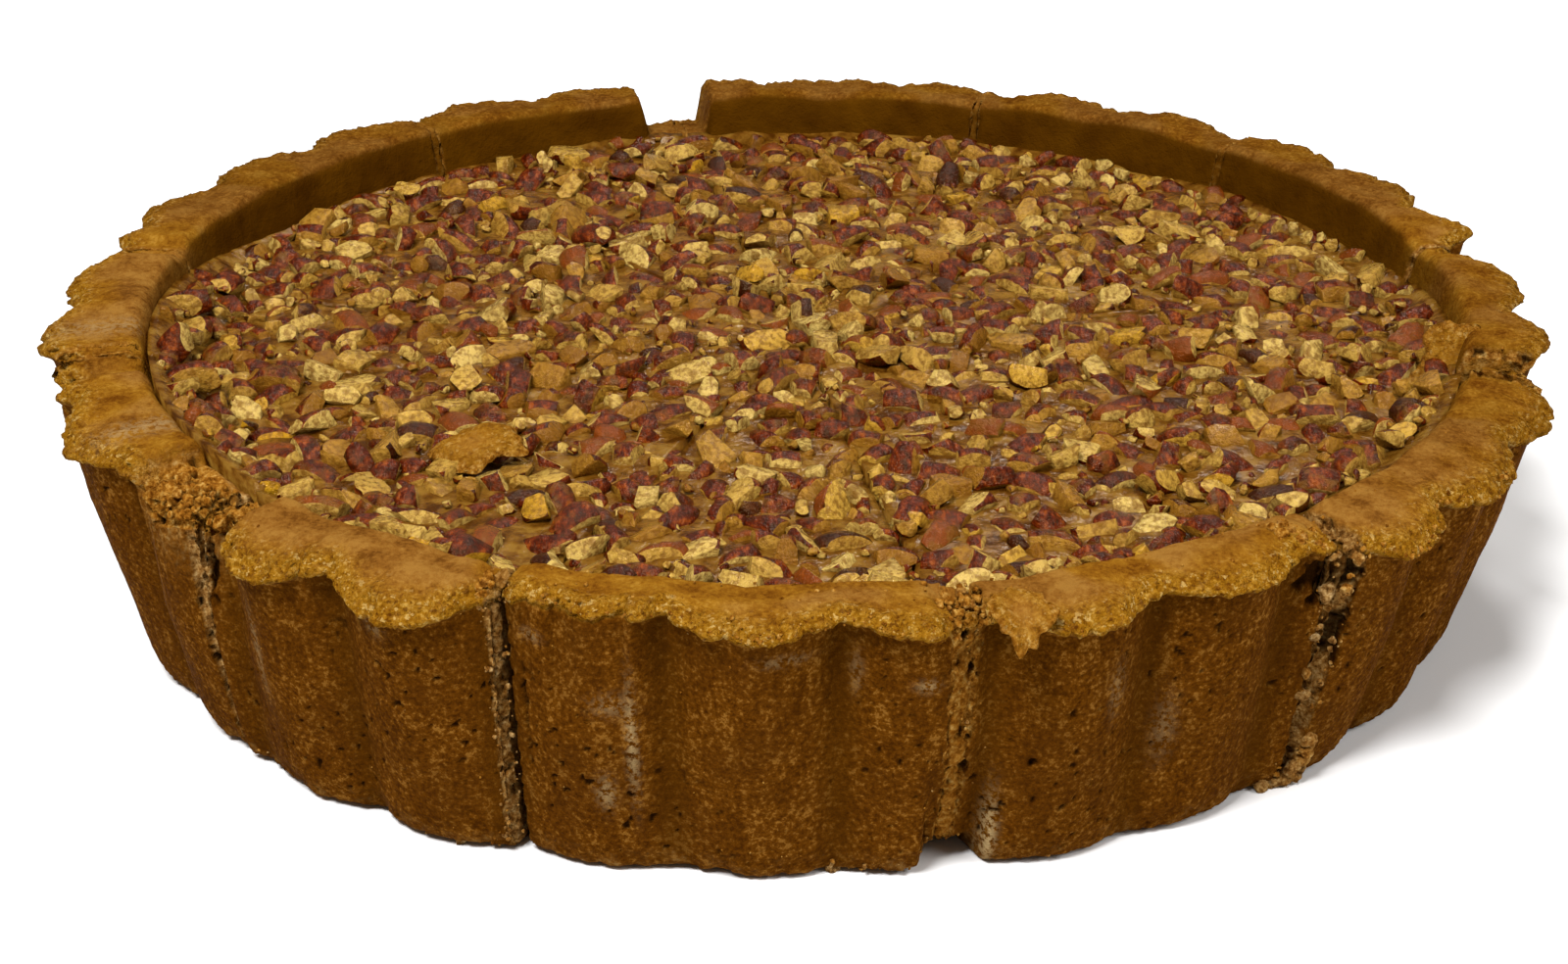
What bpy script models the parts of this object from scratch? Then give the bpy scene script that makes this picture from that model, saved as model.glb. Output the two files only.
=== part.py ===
"""A deep pecan pie, cut into twelve slices that still stand together as the whole pie.

A fluted shortcrust case with a worn rim holds the pecan filling. Twelve cuts run from the centre to
the rim. Each slice is two solids, its crust and its filling, and has slid a little outward, which
opens the cuts. One loose flake of broken rim lies on the filling and another hangs over the front lip.

Angles are in degrees about +Z, from 0 at the front (-Y) towards +X. Lengths are in metres.
"""

import math

import bmesh
import bpy
from mathutils import Euler, Vector, noise

MM = 0.001

# The case: a tin-shaped wall that leans outward, its flutes, and a thick rim with a lip.
HEIGHT = 46.5 * MM
BASE_RADIUS = 111.4 * MM
LIP_RADIUS = 124.0 * MM
LIP_OVERHANG = 1.6 * MM
RIM_INNER_RADIUS = 109.3 * MM
FLOOR_INNER_RADIUS = 101.0 * MM
FLOOR_THICKNESS = 6.0 * MM
FLUTES = 30
FLUTE_PHASE = 2.5
BASE_FLUTE_DEPTH = 2.2 * MM
WALL_TOP_FLUTE_DEPTH = 6.6 * MM
LIP_FLUTE_DEPTH = 5.4 * MM

# The lip's profile. Drops are below its drooping top, and it droops less in a flute's valley and
# where some of it has broken off.
VALLEY_DROOP = 0.3
LIP_EDGE_DROP = 1.0 * MM
LIP_UNDERSIDE_DROP = 2.2 * MM
LIP_ROOT_DROP = 4.4 * MM
LIP_UNDERCUT = 0.7 * MM
LIP_SHOULDER = 2.2 * MM
LIP_SHOULDER_SHARE = 0.3
SHOULDER_DROOP = 0.55
MIDDLE_DROOP = 0.1
BROKEN_DROOP = 0.12 / MM
RIM_LEAST_WIDTH = 4.0 * MM
INNER_EDGE_ROUND = 1.3 * MM

# The wall bows out a little between the lip and the foot.
WALL_BOW = 0.4 * MM

# The foot of the wall: its rounded bottom edge, and how high a chip out of it reaches.
FOOT_SETBACK = 0.6 * MM
FOOT_HEIGHT = 1.2 * MM
CHIP_TOP = 5.0 * MM
CHIP_TOP_SHARE = 0.4

# The dough was pressed in by hand, so neither the base nor the filling's edge is quite centred.
BASE_CENTRE = Vector((-1.2, 0.0, 0.0)) * MM
INNER_CENTRE = Vector((2.0, 2.2, 0.0)) * MM
HIGHEST_RIM = HEIGHT + 2.4 * MM

# Where the cuts meet, measured from the middle of the pie's footprint, which is the origin.
CUTS_MEET = Vector((0.6, -1.5, 0.0)) * MM

# The filling: its level below the rim, and how uneven its top is.
FILLING_DROP = 8.0 * MM
FILLING_RELIEF = 0.8 * MM
RELIEF_WAVELENGTH = 14.0 * MM

# Gaps that keep the solids apart, and the small radius where a slice ends at the centre.
GAP = 0.3 * MM
TIP_RADIUS = 1.2 * MM
CORNER = 3.0 * MM

# Each slice: the angle of its first cut; in mm, how far it slid out, how far its lip droops and
# reaches beyond LIP_RADIUS, and how much its rim stands above HEIGHT; and how far round its flutes
# sit, in degrees, where the dough did not fill the tin's flutes evenly.
SLICES = (
    (338.7, 0.9, 1.8, -2.0, 0.0, 0.4),
    (10.7, 2.0, 2.0, -2.2, 0.0, -1.4),
    (40.5, 2.6, 3.2, 1.0, 0.0, 0.0),
    (77.0, 1.6, 0.8, -0.4, 1.4, 0.0),
    (101.5, 1.2, 0.4, 1.2, 1.5, 0.0),
    (133.0, 1.2, 0.3, 1.0, 1.0, 0.0),
    (161.0, 1.4, 0.2, 1.0, 0.7, 0.0),
    (191.5, 1.6, 0.2, 1.0, 0.8, 0.0),
    (219.0, 1.6, 0.6, 1.4, 1.3, 0.0),
    (259.0, 1.4, 1.4, 1.2, 0.8, 5.5),
    (282.0, 1.4, 3.0, 0.6, 0.2, 0.0),
    (312.0, 2.6, 4.2, -1.6, 0.0, 0.0),
)

# Broken places on the rim: angle, half width, height lost and lip lost (mm).
BREAKS = (
    (192.2, 3.1, 8.0, 0.5),
    (310.5, 6.5, 3.2, 4.5),
    (101.5, 2.4, 1.0, 5.0),
    (285.0, 2.4, 3.0, 3.0),
    (77.0, 2.0, 3.5, 0.5),
    (259.0, 1.6, 1.5, 2.5),
    (40.5, 1.6, 0.8, 2.5),
    (10.7, 1.4, 0.8, 2.5),
    (338.7, 1.4, 0.8, 2.5),
    (344.5, 4.2, 0.2, 3.8),
)
BREAK_EDGE = 1.2

# Chips out of the bottom edge: angle, half width and depth (mm).
BASE_CHIPS = (
    (11.4, 2.4, 3.6),
    (326.5, 1.0, 1.0),
)

# The crumbled edge along each cut: how far it reaches sideways and how deep it goes into the wall.
CUT_CRUMBLE_WIDTH = 1.5
CUT_CRUMBLE_DEPTH = 2.2 * MM
CUT_CRUMBLE_AT_FOOT = 0.4

# How uneven the rim's height and the lip's reach are.
RIM_WAVINESS = 0.8 * MM
LIP_WAVINESS = 1.2 * MM

# Loose flakes of broken rim: how thick, how domed and how ragged.
FLAKE_THICKNESS = 1.8 * MM
FLAKE_DOME = 0.9 * MM
FLAKE_RAGGEDNESS = 0.28
FLAKE_POINTS = 14

# Degrees between the sections of a crust and of a filling.
STEP = 1.4
FILLING_STEP = 3.4


def unit(angle):
    """The horizontal direction at an angle from the front."""
    turn = math.radians(angle)
    return Vector((math.sin(turn), -math.cos(turn), 0.0))


def smooth(share):
    share = min(1.0, max(0.0, share))
    return share * share * (3.0 - 2.0 * share)


def apart(a, b):
    """The smaller angle between two directions."""
    return abs((a - b + 180.0) % 360.0 - 180.0)


def scallop(angle):
    """1 on the crown of a flute and near 0 in the narrow valley between two."""
    wave = math.sin(math.radians((angle - FLUTE_PHASE) * FLUTES / 2.0))
    return math.sqrt(wave * wave + 0.01) / math.sqrt(1.01)


def off_centre(radius, centre, angle):
    """The reach, at an angle, of a circle that is drawn about a centre near the axis."""
    return radius + centre.dot(unit(angle))


def lost(places, column, angle):
    """How much has broken off at an angle, from one column of a list of broken places."""
    worst = 0.0
    for place in places:
        inside = smooth((place[1] + BREAK_EDGE / 2.0 - apart(angle, place[0])) / BREAK_EDGE)
        worst = max(worst, inside * place[column] * MM)
    return worst


def uneven(angle, seed, size):
    """A hand-made waviness round the rim."""
    spot = unit(angle) * 9.0
    return size * noise.noise(Vector((spot.x, spot.y, seed)))


def crust_section(angle, droop, reach, rise, flute_shift, crumble):
    """The crust's outline at an angle, as (radius, height) points from the tip's underside round."""
    crown = scallop(angle - flute_shift)
    valley = 1.0 - crown
    lip_lost = lost(BREAKS, 3, angle)
    droop *= VALLEY_DROOP + (1.0 - VALLEY_DROOP) * crown
    droop *= max(0.0, 1.0 - BROKEN_DROOP * lip_lost)
    top = HEIGHT + rise - lost(BREAKS, 2, angle) + uneven(angle, 1.0, RIM_WAVINESS)
    cut_back = crumble * CUT_CRUMBLE_DEPTH
    base = off_centre(BASE_RADIUS, BASE_CENTRE, angle) - valley * BASE_FLUTE_DEPTH
    base -= CUT_CRUMBLE_AT_FOOT * cut_back
    unbroken = LIP_RADIUS + reach - cut_back + uneven(angle, 5.0, LIP_WAVINESS)
    wall_top = unbroken - LIP_OVERHANG - valley * WALL_TOP_FLUTE_DEPTH
    inner = off_centre(RIM_INNER_RADIUS, INNER_CENTRE, angle)
    floor = off_centre(FLOOR_INNER_RADIUS, INNER_CENTRE, angle)
    lip = unbroken - valley * LIP_FLUTE_DEPTH - lip_lost
    lip = max(lip, inner + RIM_LEAST_WIDTH)
    shoulder = lip - min(LIP_SHOULDER, LIP_SHOULDER_SHARE * (lip - inner))
    chip = lost(BASE_CHIPS, 2, angle)
    root = top - droop - LIP_ROOT_DROP

    def wall(z):
        return base + (wall_top - base) * z / HEIGHT

    return (
        (TIP_RADIUS, 0.0),
        (base - CORNER - chip, 0.0),
        (base - FOOT_SETBACK - chip, FOOT_HEIGHT),
        (wall(CHIP_TOP) - CHIP_TOP_SHARE * chip, CHIP_TOP),
        (wall(HEIGHT / 2.0) + WALL_BOW, HEIGHT / 2.0),
        (min(wall(root), lip), root),
        (lip - LIP_UNDERCUT, top - droop - LIP_UNDERSIDE_DROP),
        (lip, top - droop - LIP_EDGE_DROP),
        (shoulder, top - droop * SHOULDER_DROOP),
        ((lip + inner) / 2.0, top - droop * MIDDLE_DROOP),
        (inner + INNER_EDGE_ROUND, top),
        (inner, top - INNER_EDGE_ROUND),
        (floor, FLOOR_THICKNESS + CORNER),
        (floor - CORNER, FLOOR_THICKNESS),
        (TIP_RADIUS, FLOOR_THICKNESS),
    )


def inner_wall_radius(angle, z):
    """The crust's inner face at its most upright, which the filling stays inside."""
    inner = off_centre(RIM_INNER_RADIUS, INNER_CENTRE, angle)
    floor = off_centre(FLOOR_INNER_RADIUS, INNER_CENTRE, angle)
    low = FLOOR_THICKNESS + CORNER
    return floor + (inner - floor) * (z - low) / (HIGHEST_RIM - low)


def filling_top(spot):
    return (
        HEIGHT
        - FILLING_DROP
        + FILLING_RELIEF * noise.noise(Vector((spot.x, spot.y, 0.4)) / RELIEF_WAVELENGTH)
    )


def filling_section(angle):
    """The filling's outline at an angle, as (radius, height) points from the tip's underside round."""
    low = FLOOR_THICKNESS + GAP
    out = inner_wall_radius(angle, HEIGHT - FILLING_DROP) - GAP
    corner = off_centre(FLOOR_INNER_RADIUS, INNER_CENTRE, angle) - GAP
    section = [
        (TIP_RADIUS, low),
        (corner - CORNER - GAP, low),
        (corner, low + CORNER),
    ]
    for radius in (out, 0.82 * out, 0.58 * out, 0.3 * out, TIP_RADIUS):
        section.append((radius, filling_top(unit(angle) * radius)))
    return section


def wedge(name, sections, angles, material):
    """A closed solid swept through sections, one at each angle, and closed by a flat cut at each end."""
    shape = bmesh.new()
    rings = [
        [shape.verts.new(unit(angle) * radius + Vector((0.0, 0.0, z))) for radius, z in section]
        for angle, section in zip(angles, sections)
    ]
    count = len(rings[0])
    for ring, following in zip(rings, rings[1:]):
        for i in range(count):
            j = (i + 1) % count
            shape.faces.new((ring[i], following[i], following[j], ring[j]))
    shape.faces.new(rings[0])
    shape.faces.new(reversed(rings[-1]))
    bmesh.ops.triangulate(shape, faces=shape.faces[:])
    bmesh.ops.recalc_face_normals(shape, faces=shape.faces[:])
    mesh = bpy.data.meshes.new(name)
    shape.to_mesh(mesh)
    shape.free()
    mesh.materials.append(material)
    mesh.shade_smooth()
    mesh.set_sharp_from_angle(angle=math.radians(40.0))
    piece = bpy.data.objects.new(name, mesh)
    bpy.context.scene.collection.objects.link(piece)
    return piece


def spread(start, end, step):
    """Evenly spaced angles from start to end, no further apart than step."""
    count = math.ceil((end - start) / step)
    return [start + (end - start) * i / count for i in range(count + 1)]


def slice_pieces(number, start, end, shape, crust_material, filling_material):
    """One slice: its crust and its filling, both slid outward along the slice's middle."""
    slide, droop, reach, rise = (size * MM for size in shape[:4])
    flute_shift = shape[4]
    angles = spread(start, end, STEP)
    sections = []
    for angle in angles:
        to_cut = min(angle - start, end - angle)
        crumble = 1.0 - smooth(to_cut / CUT_CRUMBLE_WIDTH)
        sections.append(crust_section(angle, droop, reach, rise, flute_shift, crumble))
    crust = wedge(f"crust_{number:02d}", sections, angles, crust_material)
    angles = spread(start, end, FILLING_STEP)
    sections = [filling_section(angle) for angle in angles]
    filling = wedge(f"filling_{number:02d}", sections, angles, filling_material)
    for piece in (crust, filling):
        piece.location = CUTS_MEET + unit((start + end) / 2.0) * slide


def flake(name, place, turn, length, width, seed, material):
    """A ragged flake of broken rim, domed above and hollow below."""
    shape = bmesh.new()
    rings = []
    for share, rise in ((1.0, 0.0), (0.6, FLAKE_DOME)):
        half_thick = FLAKE_THICKNESS / 2.0 * (1.2 - 0.5 * share)
        for height in (rise + half_thick, rise - half_thick):
            ring = []
            for i in range(FLAKE_POINTS):
                around = math.tau * i / FLAKE_POINTS
                spot = Vector((3.0 * math.cos(around), 3.0 * math.sin(around), seed))
                reach = share * (1.0 + FLAKE_RAGGEDNESS * noise.noise(spot)) / 2.0
                x = reach * length * math.cos(around)
                y = reach * width * math.sin(around)
                ring.append(shape.verts.new((x, y, height)))
            rings.append(ring)
    edge_top, edge_under, inner_top, inner_under = rings
    for a, b in ((inner_top, edge_top), (edge_top, edge_under), (edge_under, inner_under)):
        for i in range(FLAKE_POINTS):
            j = (i + 1) % FLAKE_POINTS
            shape.faces.new((a[i], b[i], b[j], a[j]))
    shape.faces.new(inner_top)
    shape.faces.new(reversed(inner_under))
    bmesh.ops.triangulate(shape, faces=shape.faces[:])
    bmesh.ops.recalc_face_normals(shape, faces=shape.faces[:])
    mesh = bpy.data.meshes.new(name)
    shape.to_mesh(mesh)
    shape.free()
    mesh.materials.append(material)
    piece = bpy.data.objects.new(name, mesh)
    piece.location = place
    piece.rotation_euler = Euler([math.radians(a) for a in turn])
    bpy.context.scene.collection.objects.link(piece)


def finish(name, colour, roughness):
    """A food material: its colour and how rough it is."""
    material = bpy.data.materials.new(name)
    material.use_nodes = True
    shader = material.node_tree.nodes["Principled BSDF"]
    shader.inputs["Base Color"].default_value = (*colour, 1.0)
    shader.inputs["Roughness"].default_value = roughness
    shader.inputs["Metallic"].default_value = 0.0
    return material


def main():
    for old in list(bpy.data.objects):
        bpy.data.objects.remove(old)
    crust_material = finish("shortcrust", (0.36, 0.17, 0.04), 0.75)
    filling_material = finish("pecan_filling", (0.33, 0.16, 0.05), 0.35)

    for index, (start, *shape) in enumerate(SLICES):
        end = SLICES[(index + 1) % len(SLICES)][0]
        if end < start:
            end += 360.0
        slice_pieces(index + 1, start, end, shape, crust_material, filling_material)

    # On the filling, front left, tilted on the nuts.
    flake(
        "rim_flake_on_filling",
        CUTS_MEET + unit(-44.0) * 72.0 * MM + Vector((0.0, 0.0, HEIGHT - FILLING_DROP + 3.4 * MM)),
        (14.0, -6.0, -12.0),
        15.0 * MM,
        11.0 * MM,
        2.0,
        crust_material,
    )
    # Over the front lip, just right of the cut there, with its outer end down.
    flake(
        "rim_flake_front",
        CUTS_MEET + unit(14.4) * 121.4 * MM + Vector((0.0, 0.0, HEIGHT - 0.8 * MM)),
        (0.0, 28.0, -75.0),
        10.0 * MM,
        9.0 * MM,
        5.0,
        crust_material,
    )


main()
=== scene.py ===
"""The looks of the pecan pie: its baked fluted crust, its caramel, its chopped pecans and its crumbs.

Lengths in this script are in millimetres and become metres only when a mesh is made. Angles are in
degrees about +Z, from 0 at the front (-Y) towards +X, as they are in the CAD part. Points on the
pie are measured from where its cuts meet, and each slice is then slid outward as in the CAD part.
"""

import math

import bmesh
import bpy
import numpy as np
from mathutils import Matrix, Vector, geometry, noise


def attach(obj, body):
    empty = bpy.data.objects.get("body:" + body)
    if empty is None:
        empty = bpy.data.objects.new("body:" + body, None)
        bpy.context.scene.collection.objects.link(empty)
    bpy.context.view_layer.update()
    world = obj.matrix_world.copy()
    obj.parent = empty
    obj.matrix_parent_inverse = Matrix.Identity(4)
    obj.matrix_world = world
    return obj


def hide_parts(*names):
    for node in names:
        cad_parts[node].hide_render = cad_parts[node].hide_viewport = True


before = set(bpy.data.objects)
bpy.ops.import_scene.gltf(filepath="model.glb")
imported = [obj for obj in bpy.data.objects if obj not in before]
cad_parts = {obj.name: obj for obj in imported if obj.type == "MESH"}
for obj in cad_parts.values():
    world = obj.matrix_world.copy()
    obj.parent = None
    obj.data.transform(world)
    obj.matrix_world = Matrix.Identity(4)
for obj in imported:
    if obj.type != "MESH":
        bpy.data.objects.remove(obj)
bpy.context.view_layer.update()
MM = 0.001

# ---------------------------------------------------------------------------------------------
# Sizes that follow the CAD part, with small changes where the photograph shows more.
# ---------------------------------------------------------------------------------------------

HEIGHT = 46.5
BASE_RADIUS = 111.4
LIP_RADIUS = 124.0
LIP_OVERHANG = 1.6
RIM_INNER_RADIUS = 109.3
FLOOR_INNER_RADIUS = 101.0
FLOOR_THICKNESS = 6.0
FLUTES = 30
FLUTE_PHASE = 2.5
BASE_FLUTE_DEPTH = 2.2
WALL_TOP_FLUTE_DEPTH = 6.6
LIP_FLUTE_DEPTH = 5.4
VALLEY_DROOP = 0.3
BROKEN_DROOP = 0.12
LIP_EDGE_DROP = 1.1
LIP_UNDERSIDE_DROP = 1.8
LIP_UNDERCUT = 0.5
LIP_SHOULDER = 2.2
LIP_SHOULDER_SHARE = 0.3
SHOULDER_DROOP = 0.55
MIDDLE_DROOP = 0.1
RIM_LEAST_WIDTH = 4.0
INNER_EDGE_ROUND = 1.3
WALL_BOW = 0.4
FOOT_SETBACK = 0.6
FOOT_HEIGHT = 1.2
CHIP_TOP = 5.0
CHIP_TOP_SHARE = 0.4
BASE_CENTRE = (-1.2, 0.0)
INNER_CENTRE = (0.9, 2.2)
HIGHEST_RIM = HEIGHT + 2.4
CUTS_MEET = (0.6, -1.5)
LEVEL = HEIGHT - 8.0
TIP_RADIUS = 1.2
CORNER = 3.0
GAP = 0.3
RIM_WAVINESS = 0.8
LIP_WAVINESS = 1.2

# Each slice: the angle of its first cut, how far it slid out, how far its lip droops and reaches
# beyond LIP_RADIUS, how much its rim stands above HEIGHT, and the shift of its flutes in degrees.
SLICES = (
    (338.7, 0.9, 1.1, -2.0, 0.0, 0.4),
    (10.7, 2.0, 2.0, -2.2, 0.0, -1.4),
    (40.5, 2.6, 3.2, 1.0, 0.0, 0.0),
    (77.0, 1.6, 0.8, -0.4, 1.4, 0.0),
    (101.5, 1.2, 0.4, 1.2, 1.5, 0.0),
    (133.0, 1.2, 0.3, 1.0, 1.0, 0.0),
    (161.0, 1.4, 0.2, 1.0, 0.7, 0.0),
    (191.5, 1.6, 0.2, 1.0, 0.8, 0.0),
    (219.0, 1.6, 0.6, 1.4, 1.3, 0.0),
    (259.0, 1.4, 1.4, 1.2, 0.8, 5.5),
    (282.0, 1.4, 3.0, 0.6, 0.2, 0.0),
    (312.0, 2.6, 4.2, -1.6, 0.0, 0.0),
)

# Broken places on the rim: angle, half width, height lost and lip lost.
BREAKS = (
    (192.2, 3.1, 8.0, 0.5),
    (310.5, 6.5, 3.2, 4.5),
    (101.5, 2.4, 1.0, 5.0),
    (284.9, 2.6, 3.5, 3.5),
    (74.4, 2.6, 4.6, 0.5),
    (259.0, 1.6, 1.5, 2.5),
    (40.5, 1.6, 0.8, 2.5),
    (10.7, 1.4, 0.8, 2.5),
    (338.7, 1.4, 0.8, 2.5),
    (344.5, 4.2, 0.2, 3.8),
)
BREAK_EDGE = 1.2
BASE_CHIPS = (
    (11.3, 2.0, 7.5),
    (326.5, 1.0, 1.0),
)

# ---------------------------------------------------------------------------------------------
# Sizes that only the looks have.
# ---------------------------------------------------------------------------------------------

# How far apart the crust's grid points are: at the front, at the back, and beside a front cut.
FRONT_GRAIN = 0.5
BACK_GRAIN = 0.8
CUT_GRAIN = 0.3
CUT_GRAIN_REACH = 5.0
WALL_RADIUS = 118.0
LIP_ROOT_DROP = 2.8

# The crumbled edges beside each cut, before it and after it: how wide, how deep, and how much wider
# at the top. Then the crumbs that bridge the cut: width, how far they lie to one side, how far they
# lie back from the crust's surface, their tone (0 grey-beige to 1 golden), the height that they end
# at, and how rough they are.
CUTS = {
    338.7: ((0.6, 0.4, 0.0), (1.2, 2.6, 0.0), (3.4, -1.2, -0.3, 0.45, 0.0, 0.7)),
    10.7: ((1.0, 0.5, 0.4), (1.2, 0.9, 2.2), (4.2, 0.3, 0.4, 0.92, 4.4, 0.6)),
    40.5: ((0.7, 0.8, 0.0), (0.9, 2.0, 0.8), (1.8, 0.2, 3.4, 0.4, 0.0, 1.0)),
    77.0: ((0.5, 0.4, 0.0), (0.4, 0.3, 0.0), (1.2, 0.0, 2.4, 0.7, 0.0, 0.2)),
    101.5: ((0.5, 0.4, 0.0), (0.5, 0.4, 0.0), (1.2, 0.0, 1.2, 0.5, 0.0, 0.4)),
    312.0: ((1.0, 0.9, 0.0), (0.5, 0.5, 0.0), (1.8, 0.0, 1.5, 0.3, 0.0, 0.7)),
}
PLAIN_CUT = ((0.3, 0.15, 0.0), (0.3, 0.15, 0.0), (2.4, 0.0, 0.05, 0.9, 0.0, 0.15))
TORN_BREAK = (310.5, 6.3)

# Stretches of the rim painted a deeper brown: angle, half width and strength. At the back this is
# painted shade, where the back rim lies in shadow; at the right it only deepens the rim's colour.
RIMS_PAINTED_DEEPER = (
    (182.0, 78.0, 0.5),
    (76.0, 30.0, 0.32),
)

# Pale floury marks on the crust: angle, height, half width, half height and strength.
FLOUR_MARKS = (
    (-11.6, 24.0, 0.7, 8.0, 0.8),
    (-13.6, 15.0, 1.2, 2.6, 0.6),
    (-12.8, 30.0, 2.6, 1.6, 0.35),
    (13.8, 6.0, 1.0, 6.0, 1.0),
    (8.6, 35.0, 1.4, 0.9, 0.6),
    (-1.0, 39.5, 3.0, 0.8, 0.4),
    (-18.6, 39.0, 1.6, 0.9, 0.4),
    (4.0, 36.0, 0.8, 3.0, 0.25),
    (-29.0, 38.6, 1.6, 1.6, 0.45),
    (299.0, 47.0, 3.0, 2.0, 0.5),
    (278.0, 47.5, 3.2, 2.0, 0.4),
    (22.0, 30.0, 1.2, 4.0, 0.3),
    (27.0, 20.0, 1.6, 5.0, 0.25),
    (60.0, 26.0, 1.8, 8.0, 0.3),
    (318.5, 26.0, 1.0, 7.0, 0.35),
    (305.5, 20.0, 1.2, 6.0, 0.3),
)

# Crumbled hollows in the wall, given in the same way: pressed in and painted near-black as painted shade.
SHADED_HOLLOWS = (
    (39.9, 38.0, 3.4, 4.5, 1.0),
    (41.0, 28.0, 1.2, 6.0, 0.8),
    (-19.6, 26.0, 0.7, 9.0, 0.7),
    (9.4, 8.0, 0.8, 4.0, 0.7),
    (312.6, 33.0, 1.0, 6.0, 0.8),
)


def smooth(low, high, value):
    """0 below low, 1 above high, with a soft step between."""
    share = np.clip((value - low) / (high - low), 0.0, 1.0)
    return share * share * (3.0 - 2.0 * share)


def directions(angles):
    """The horizontal directions at angles from the front, one row each."""
    turn = np.radians(angles)
    return np.stack([np.sin(turn), -np.cos(turn)], axis=-1)


def signed_apart(angles, centre):
    """The angle from a centre to directions, between -180 and 180."""
    return (angles - centre + 180.0) % 360.0 - 180.0


def apart(angles, centre):
    """The smaller angle between directions and a centre."""
    return np.abs(signed_apart(angles, centre))


# ---------------------------------------------------------------------------------------------
# Repeatable noise for whole arrays of points.
# ---------------------------------------------------------------------------------------------


def scramble(x, y, z, seed):
    """A repeatable random 32-bit number for each whole-number cell."""
    h = x.astype(np.uint32) * np.uint32(0x8DA6B343)
    h ^= y.astype(np.uint32) * np.uint32(0xD8163841)
    h ^= z.astype(np.uint32) * np.uint32(0xCB1AB31F)
    h ^= np.uint32((seed * 0x9E3779B1) & 0xFFFFFFFF)
    h ^= h >> np.uint32(15)
    h *= np.uint32(0x2C1B3C6D)
    h ^= h >> np.uint32(12)
    h *= np.uint32(0x297A2D39)
    h ^= h >> np.uint32(15)
    return h


def thirds(h):
    """Three repeatable random numbers from 0 to 1 out of each 32-bit number."""
    ten_bits = np.uint32(1023)
    parts = (h & ten_bits, (h >> np.uint32(10)) & ten_bits, (h >> np.uint32(20)) & ten_bits)
    return [part.astype(np.float32) / 1023.0 for part in parts]


def waves(points, size, seed=0):
    """Smooth noise, about -1 to 1, whose bumps are about size across."""
    p = np.asarray(points, np.float64) / size
    cell = np.floor(p).astype(np.int64)
    f = (p - cell).astype(np.float32)
    u = f * f * f * (f * (f * 6.0 - 15.0) + 10.0)
    total = np.zeros(len(p), np.float32)
    for dx in (0, 1):
        wx = u[:, 0] if dx else 1.0 - u[:, 0]
        for dy in (0, 1):
            wy = u[:, 1] if dy else 1.0 - u[:, 1]
            for dz in (0, 1):
                wz = u[:, 2] if dz else 1.0 - u[:, 2]
                h = scramble(cell[:, 0] + dx, cell[:, 1] + dy, cell[:, 2] + dz, seed)
                gx, gy, gz = thirds(h)
                slope = (2.0 * gx - 1.0) * (f[:, 0] - dx)
                slope += (2.0 * gy - 1.0) * (f[:, 1] - dy)
                slope += (2.0 * gz - 1.0) * (f[:, 2] - dz)
                total += wx * wy * wz * slope
    return total * 1.5


def layers(points, size, count, seed=0):
    """Smooth noise with finer and weaker noise on top of it."""
    total = np.zeros(len(points), np.float32)
    strength, reach = 1.0, 0.0
    for i in range(count):
        total += strength * waves(points, size / 2.0**i, seed + 31 * i)
        reach += strength
        strength *= 0.5
    return total / reach**0.5


def cells(points, size, seed=0):
    """Distance to the nearest of scattered spots (in spot spacings), and that spot's random number."""
    p = np.asarray(points, np.float64) / size
    cell = np.floor(p).astype(np.int64)
    f = (p - cell).astype(np.float32)
    best = np.full(len(p), 9.0, np.float32)
    pick = np.zeros(len(p), np.float32)
    for dx in (-1, 0, 1):
        for dy in (-1, 0, 1):
            for dz in (-1, 0, 1):
                h = scramble(cell[:, 0] + dx, cell[:, 1] + dy, cell[:, 2] + dz, seed)
                sx, sy, sz = thirds(h)
                sx = sx + dx - f[:, 0]
                sy = sy + dy - f[:, 1]
                sz = sz + dz - f[:, 2]
                away = np.sqrt(sx * sx + sy * sy + sz * sz)
                nearer = away < best
                best = np.where(nearer, away, best)
                pick = np.where(nearer, (h % np.uint32(997)).astype(np.float32) / 997.0, pick)
    return best, pick


def along(position, size, seed):
    """Smooth noise along a line."""
    spot = np.zeros((len(position), 3))
    spot[:, 0] = position
    spot[:, 1] = seed * 7.31
    return waves(spot, size, seed)


# ---------------------------------------------------------------------------------------------
# Meshes
# ---------------------------------------------------------------------------------------------


def make(name, points, faces, values, material, face_values=None):
    """A smooth-shaded piece from points in mm, with float attributes on its points and faces."""
    mesh = bpy.data.meshes.new(name)
    mesh.from_pydata((points * MM).tolist(), [], [tuple(face) for face in faces])
    for key, value in values.items():
        layer = mesh.attributes.new(key, "FLOAT", "POINT")
        layer.data.foreach_set("value", np.asarray(value, np.float32))
    for key, value in (face_values or {}).items():
        layer = mesh.attributes.new(key, "FLOAT", "FACE")
        layer.data.foreach_set("value", np.asarray(value, np.float32))
    mesh.materials.append(material)
    mesh.shade_smooth()
    mesh.update()
    piece = bpy.data.objects.new(name, mesh)
    bpy.context.scene.collection.objects.link(piece)
    return piece


def stitched(columns, rows):
    """Quads of a grid that is closed round its rows and open along its columns."""
    c, r = np.meshgrid(np.arange(columns - 1), np.arange(rows), indexing="ij")
    up = (r + 1) % rows
    quads = np.stack([c * rows + r, (c + 1) * rows + r, (c + 1) * rows + up, c * rows + up], axis=-1)
    return quads.reshape(-1, 4)


def outward(piece):
    """Turns a closed piece's faces to point out."""
    shape = bmesh.new()
    shape.from_mesh(piece.data)
    bmesh.ops.recalc_face_normals(shape, faces=shape.faces)
    shape.to_mesh(piece.data)
    shape.free()


def settle(piece, slot, *nodes):
    """The piece rides on the pie and stands for the CAD nodes given, which it hides. The slot is not used."""
    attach(piece, "root")
    if nodes:
        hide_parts(*nodes)


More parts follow.
